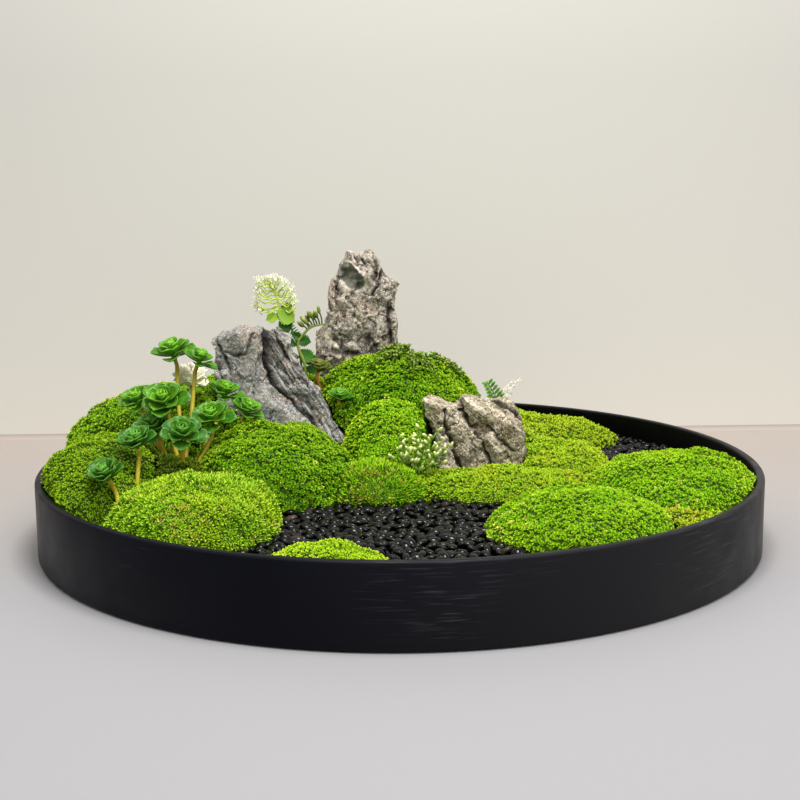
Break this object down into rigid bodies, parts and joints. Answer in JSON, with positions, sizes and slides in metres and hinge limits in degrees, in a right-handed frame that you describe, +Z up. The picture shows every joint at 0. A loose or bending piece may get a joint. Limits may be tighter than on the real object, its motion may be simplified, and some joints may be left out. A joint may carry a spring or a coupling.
{
  "type": "preserved moss centerpiece",
  "caption": "Low round tray filled with preserved moss hills, stones and glossy pebbles, planted with succulent heads and small flower sprays.",
  "frame": {"origin": "centre of the tray's foot, at the lowest plane of the part", "axes": "+Z up along the tray's turned axis, -Y towards the side seen in the picture"},
  "size_m": [0.6, 0.6, 0.2323],
  "materials": {
    "tray": "matte black coat",
    "foam": "dry floral foam",
    "pebble": "polished black",
    "stone": "rough broken",
    "moss": "preserved moss",
    "leaf": "waxy leaf",
    "stem": "plant stem",
    "cream": "petal"
  },
  "bodies": {
    "root": {"berry_sprig": "leaf", "bud_sprig": "leaf", "cream_blossom": "cream", "fern_tip": "leaf", "foam_base": "foam", "moss_back": "moss", "moss_back_left": "moss", "moss_back_right": "moss", "moss_behind_stone": "moss", "moss_centre": "moss", "moss_centre_left": "moss", "moss_front_left": "moss", "moss_front_right": "moss", "moss_grass": "moss", "moss_left": "moss", "moss_left_back": "moss", "moss_mat": "moss", "moss_mat_right": "moss", "moss_right": "moss", "moss_right_back": "moss", "moss_saddle": "moss", "moss_small_front": "moss", "moss_sparse": "moss", "moss_stem_bed": "moss", "moss_summit": "moss", "pebbles_back": "pebble", "pebbles_front": "pebble", "stone_left": "stone", "stone_right": "stone", "stone_tall": "stone", "succulent_head_behind_brown": "leaf", "succulent_head_behind_green": "leaf", "succulent_head_big": "leaf", "succulent_head_by_stone": "leaf", "succulent_head_centre": "leaf", "succulent_head_front_lower": "leaf", "succulent_head_front_upper": "leaf", "succulent_head_left": "leaf", "succulent_head_low_centre": "leaf", "succulent_head_low_left": "leaf", "succulent_head_right": "leaf", "succulent_head_top_left": "leaf", "succulent_head_top_right": "leaf", "succulent_stem_behind_brown": "stem", "succulent_stem_behind_green": "stem", "succulent_stem_front_lower": "stem", "succulent_stem_front_upper": "stem", "succulent_stems": "stem", "tray": "tray", "white_bud_spray": "cream", "white_flower_head": "cream", "white_flower_stem": "leaf"}
  },
  "joints": []
}
